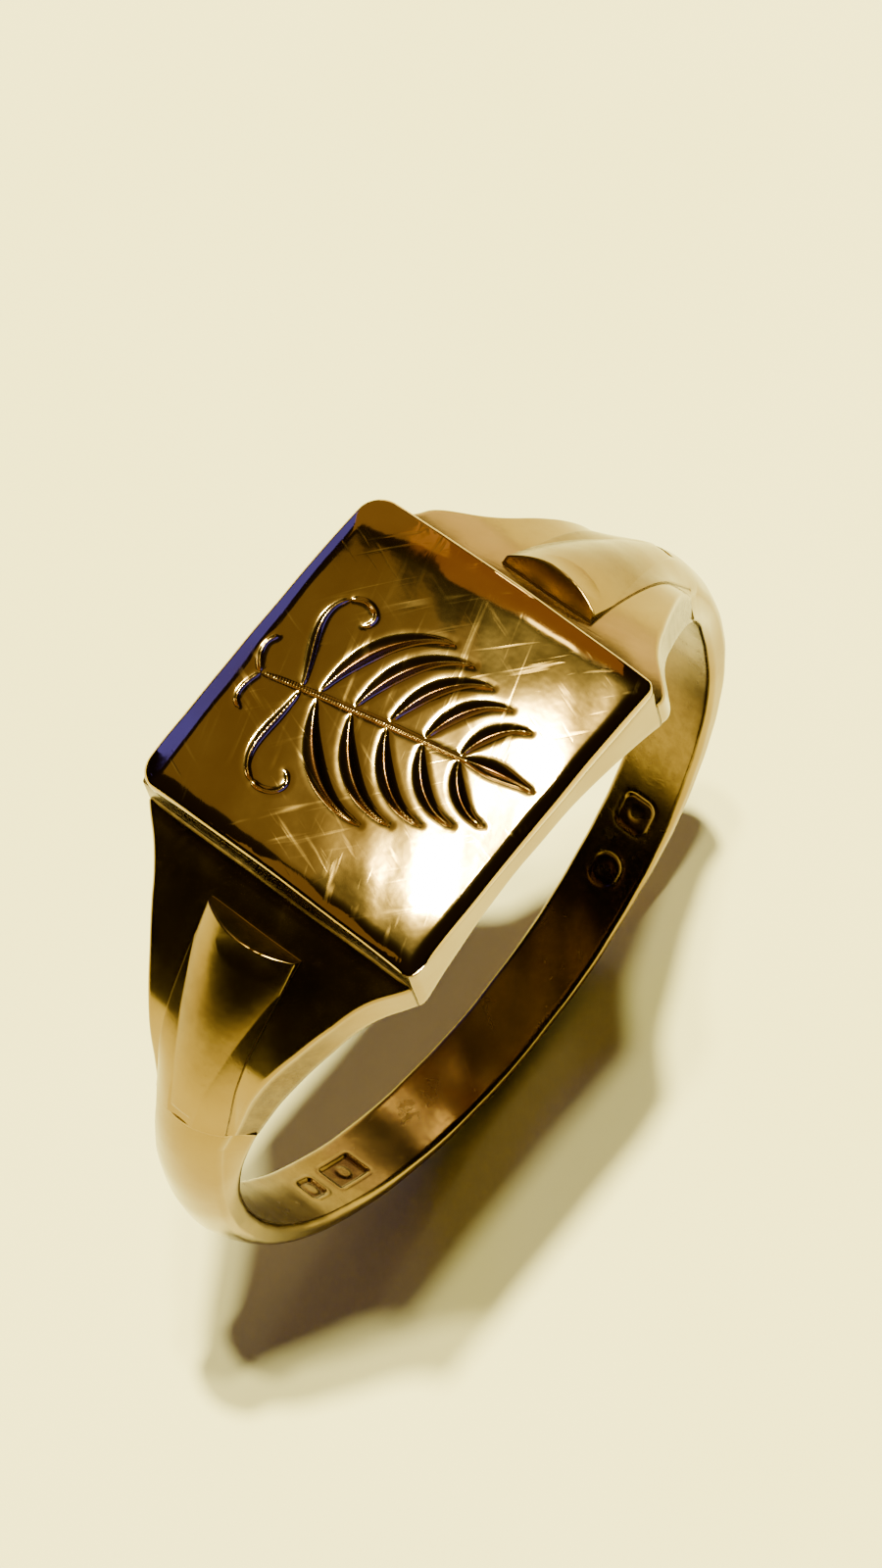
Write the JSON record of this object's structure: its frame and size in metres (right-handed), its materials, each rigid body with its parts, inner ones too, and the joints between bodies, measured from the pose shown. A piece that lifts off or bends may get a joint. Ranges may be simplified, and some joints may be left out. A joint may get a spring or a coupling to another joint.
{
  "type": "signet ring",
  "caption": "Gold signet ring with a square domed face on a bored head, flared shoulders with raised tongues and a slim D-section band",
  "frame": {"origin": "centre of the finger hole, on its axis, halfway across the head", "axes": "+Y along the finger; +Z is the outward normal of the signet face; +X across the finger towards the right shoulder"},
  "size_m": [0.0203, 0.0084, 0.0207],
  "materials": {
    "table_gold": "worn satin yellow gold, lightly domed and finely scratched",
    "ring_gold": "worn polished yellow gold, darker in the corners",
    "shank_gold": "polished yellow gold, rubbed by wear",
    "solder": "paler gold solder, flush"
  },
  "bodies": {
    "root": {"signet_plate": "table_gold", "plate_solder": "solder", "head_collet": "ring_gold", "left_head_solder": "solder", "right_head_solder": "solder", "left_shoulder": "ring_gold", "right_shoulder": "ring_gold", "left_tongue_solder": "solder", "right_tongue_solder": "solder", "left_tongue": "ring_gold", "right_tongue": "ring_gold", "left_shank_solder": "solder", "right_shank_solder": "solder", "shank": "shank_gold"}
  },
  "joints": []
}
